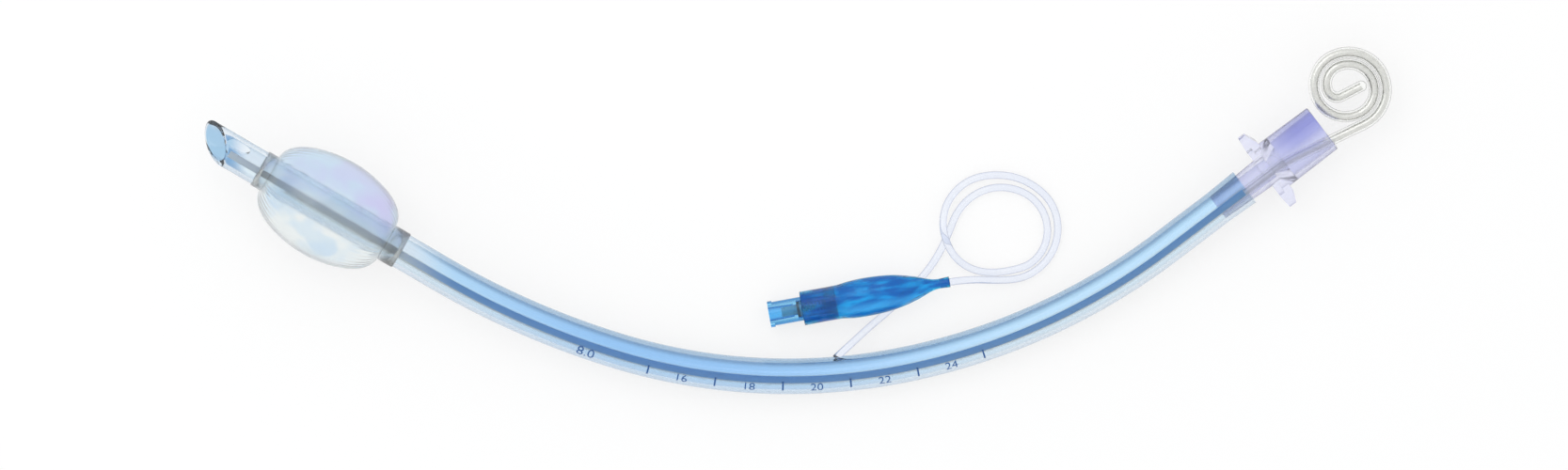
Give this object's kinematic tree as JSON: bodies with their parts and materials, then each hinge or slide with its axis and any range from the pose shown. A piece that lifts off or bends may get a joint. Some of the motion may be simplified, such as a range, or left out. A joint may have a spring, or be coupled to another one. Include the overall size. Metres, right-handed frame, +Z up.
{
  "type": "cuffed endotracheal tube",
  "caption": "Curved clear airway tube with bevelled tip, side eye, inflated cuff, inflation line with pilot balloon and check valve, 15 mm cone connector and a coiled stylet",
  "frame": {"origin": "The middle of the footprint of the tube, its connector and its stylet, on the table they lie on. The inflation line with its pilot balloon and valve isn't counted.", "axes": "+X runs from the bevelled tip towards the connector along the longest extent, +Y towards the inside of the bend, +Z up from the table."},
  "size_m": [0.3524, 0.1034, 0.0314],
  "materials": {
    "shaft_pvc": "soft translucent PVC with a blue cast and a blue radiopaque line",
    "cuff_film": "thin clear blown film, glossy, faintly blue and lilac",
    "connector_lilac": "translucent lilac moulding, polished",
    "sheath_clear": "clear smooth plastic sheath",
    "soft_wire": "soft drawn aluminium wire",
    "line_pvc": "thin clear PVC tubing, glossy",
    "balloon_blue": "saturated blue translucent film",
    "valve_blue": "translucent blue moulding",
    "plunger_white": "white moulded acetal",
    "seal_rubber": "moulded elastomer",
    "spring_steel": "drawn spring wire"
  },
  "bodies": {
    "tube": {"tube_shaft": "shaft_pvc", "cuff": "cuff_film", "connector": "connector_lilac", "stylet_sheath": "sheath_clear", "stylet_wire": "soft_wire", "inflation_line": "line_pvc", "pilot_balloon": "balloon_blue", "valve_housing": "valve_blue", "valve_base": "valve_blue", "valve_spring": "spring_steel"},
    "plunger": {"valve_plunger": "plunger_white", "valve_seal": "seal_rubber"}
  },
  "joints": [
    {"name": "plunger_press", "type": "slide", "parent": "tube", "child": "plunger", "axis": [0.9834, 0.1787, 0.0314], "range_m": [0, 0.0015], "stiffness_N_per_m": 300, "springref_m": -0.0015, "deforming": ["valve_spring"]}
  ]
}
